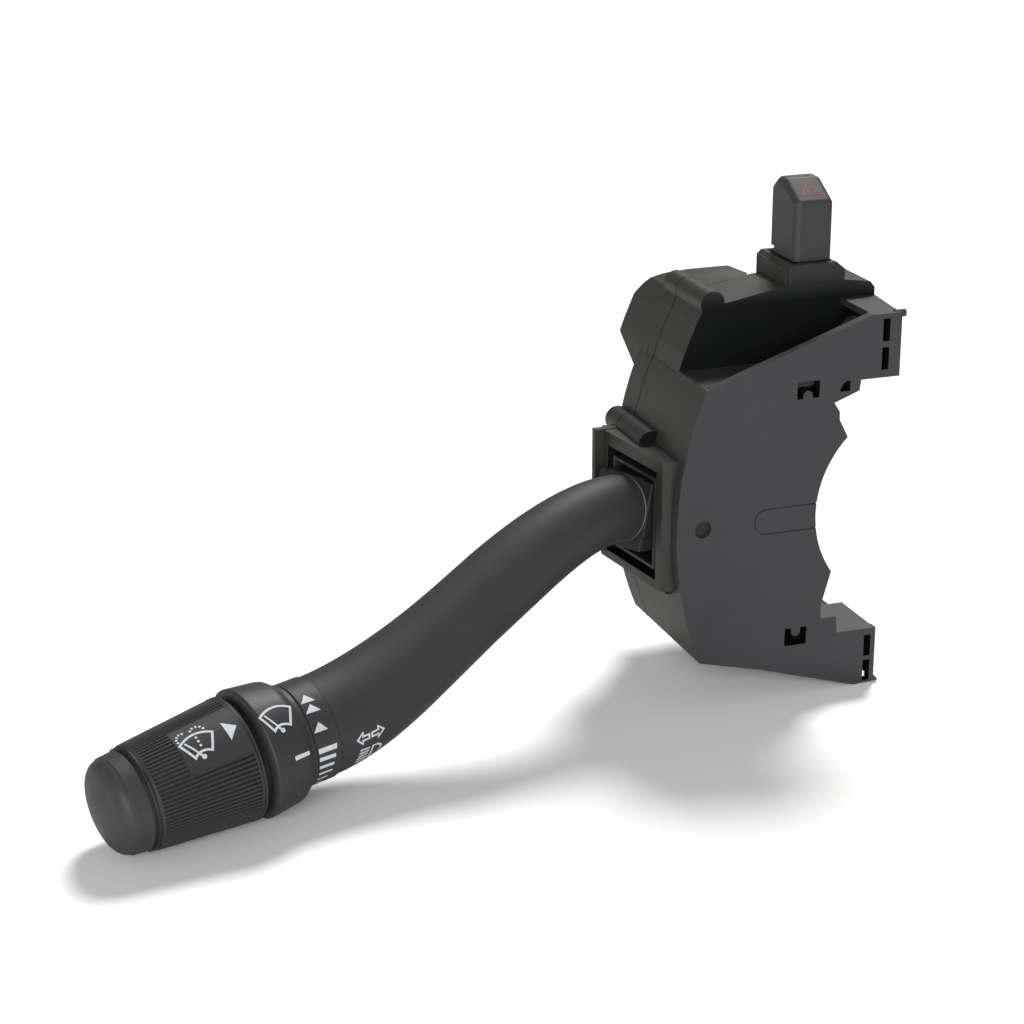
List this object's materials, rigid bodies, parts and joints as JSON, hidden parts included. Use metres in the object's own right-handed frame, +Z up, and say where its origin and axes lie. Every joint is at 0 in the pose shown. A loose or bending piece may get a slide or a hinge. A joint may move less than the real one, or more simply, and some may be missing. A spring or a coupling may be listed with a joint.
{
  "type": "steering column switch",
  "caption": "Left-hand column switch: flat C-shaped plate and case, bent lever with turning wiper collar and push-in washer knob, and a wedge-shaped hazard button on top.",
  "frame": {"origin": "midway between the centres of the two mounting holes, on the rear mounting face", "axes": "+X from the lever's tip towards the steering column, +Y away from the driver, out of the mounting face, +Z up"},
  "size_m": [0.2117, 0.0959, 0.128],
  "materials": {
    "grey_plastic": "fine grained, satin",
    "black_plastic": "matt black",
    "natural_plastic": "smooth unpainted bearing plastic",
    "steel": "plain steel",
    "brass": "plain contact brass",
    "board": "brown contact board",
    "light_ring": "light grey, smooth"
  },
  "bodies": {
    "case": {"front_housing": "grey_plastic", "rear_cover": "grey_plastic", "socket_frame": "grey_plastic", "mount_bushes": "steel", "cover_screws": "steel", "contact_board": "board", "contact_tracks": "brass", "detent_track": "natural_plastic", "main_connector": "black_plastic", "main_pins": "brass", "wiper_connector": "black_plastic", "wiper_pins": "brass", "hazard_spring": "steel", "pawl_pin": "steel", "pawl_spring": "steel"},
    "turn_carrier": {"turn_carrier": "black_plastic", "carrier_hood": "black_plastic", "beam_pin": "steel", "turn_contacts": "brass", "detent_spring": "steel"},
    "detent_plunger": {"detent_plunger": "natural_plastic"},
    "beam_slider": {"beam_slider": "natural_plastic"},
    "lever": {"lever_root": "black_plastic", "root_ring": "light_ring", "stalk_tube": "grey_plastic", "marked_band": "grey_plastic", "knob_spindle": "natural_plastic", "wiper_contact_disc": "board", "spindle_clip": "steel"},
    "wiper_collar": {"wiper_collar": "grey_plastic", "collar_sleeve": "black_plastic", "collar_contacts": "brass", "collar_detent_spring": "steel", "collar_detent_ball": "steel", "washer_spring": "steel"},
    "washer_knob": {"knob_grip": "grey_plastic", "knob_tip": "grey_plastic", "washer_rod": "steel"},
    "hazard_button": {"hazard_button": "grey_plastic", "hazard_stem": "black_plastic", "hazard_bridge": "brass"},
    "cancel_pawl": {"cancel_pawl": "natural_plastic"}
  },
  "joints": [
    {"name": "turn_signal", "type": "hinge", "parent": "case", "child": "turn_carrier", "pos_m": [-0.0478, -0.0225, -0.0003], "axis": [0, 1, 0], "range_deg": [-8, 8]},
    {"name": "beam_flash", "type": "hinge", "parent": "turn_carrier", "child": "lever", "pos_m": [-0.0478, -0.0225, -0.0003], "axis": [0, 0, 1], "range_deg": [0, 7], "stiffness_Nm_per_rad": 2, "springref_deg": -2.86},
    {"name": "beam_slide", "type": "slide", "parent": "turn_carrier", "child": "beam_slider", "axis": [0, 1, 0], "range_m": [0, 0.0018]},
    {"name": "detent_press", "type": "slide", "parent": "turn_carrier", "child": "detent_plunger", "axis": [-1, 0, 0], "range_m": [0, 0.0012], "stiffness_N_per_m": 500, "springref_m": -0.001, "deforming": ["detent_spring"]},
    {"name": "wiper_turn", "type": "hinge", "parent": "lever", "child": "wiper_collar", "pos_m": [-0.1712, -0.0618, -0.0334], "axis": [-0.9549, -0.2792, -0.1011], "range_deg": [-15, 60]},
    {"name": "washer_push", "type": "slide", "parent": "wiper_collar", "child": "washer_knob", "axis": [0.9549, 0.2792, 0.1011], "range_m": [0, 0.0019], "stiffness_N_per_m": 800, "springref_m": -0.002, "deforming": ["washer_spring"]},
    {"name": "hazard_push", "type": "slide", "parent": "case", "child": "hazard_button", "axis": [0, 0, -1], "range_m": [0, 0.005], "stiffness_N_per_m": 400, "springref_m": -0.003, "deforming": ["hazard_spring"]},
    {"name": "cancel_swing", "type": "hinge", "parent": "case", "child": "cancel_pawl", "pos_m": [-0.0245, -0.0168, -0.0003], "axis": [0, 1, 0], "range_deg": [-25, 25], "stiffness_Nm_per_rad": 0.02}
  ],
  "couplings": [
    {"joint": "beam_slide", "follows": "beam_flash", "m_per_rad": 0.0144}
  ]
}
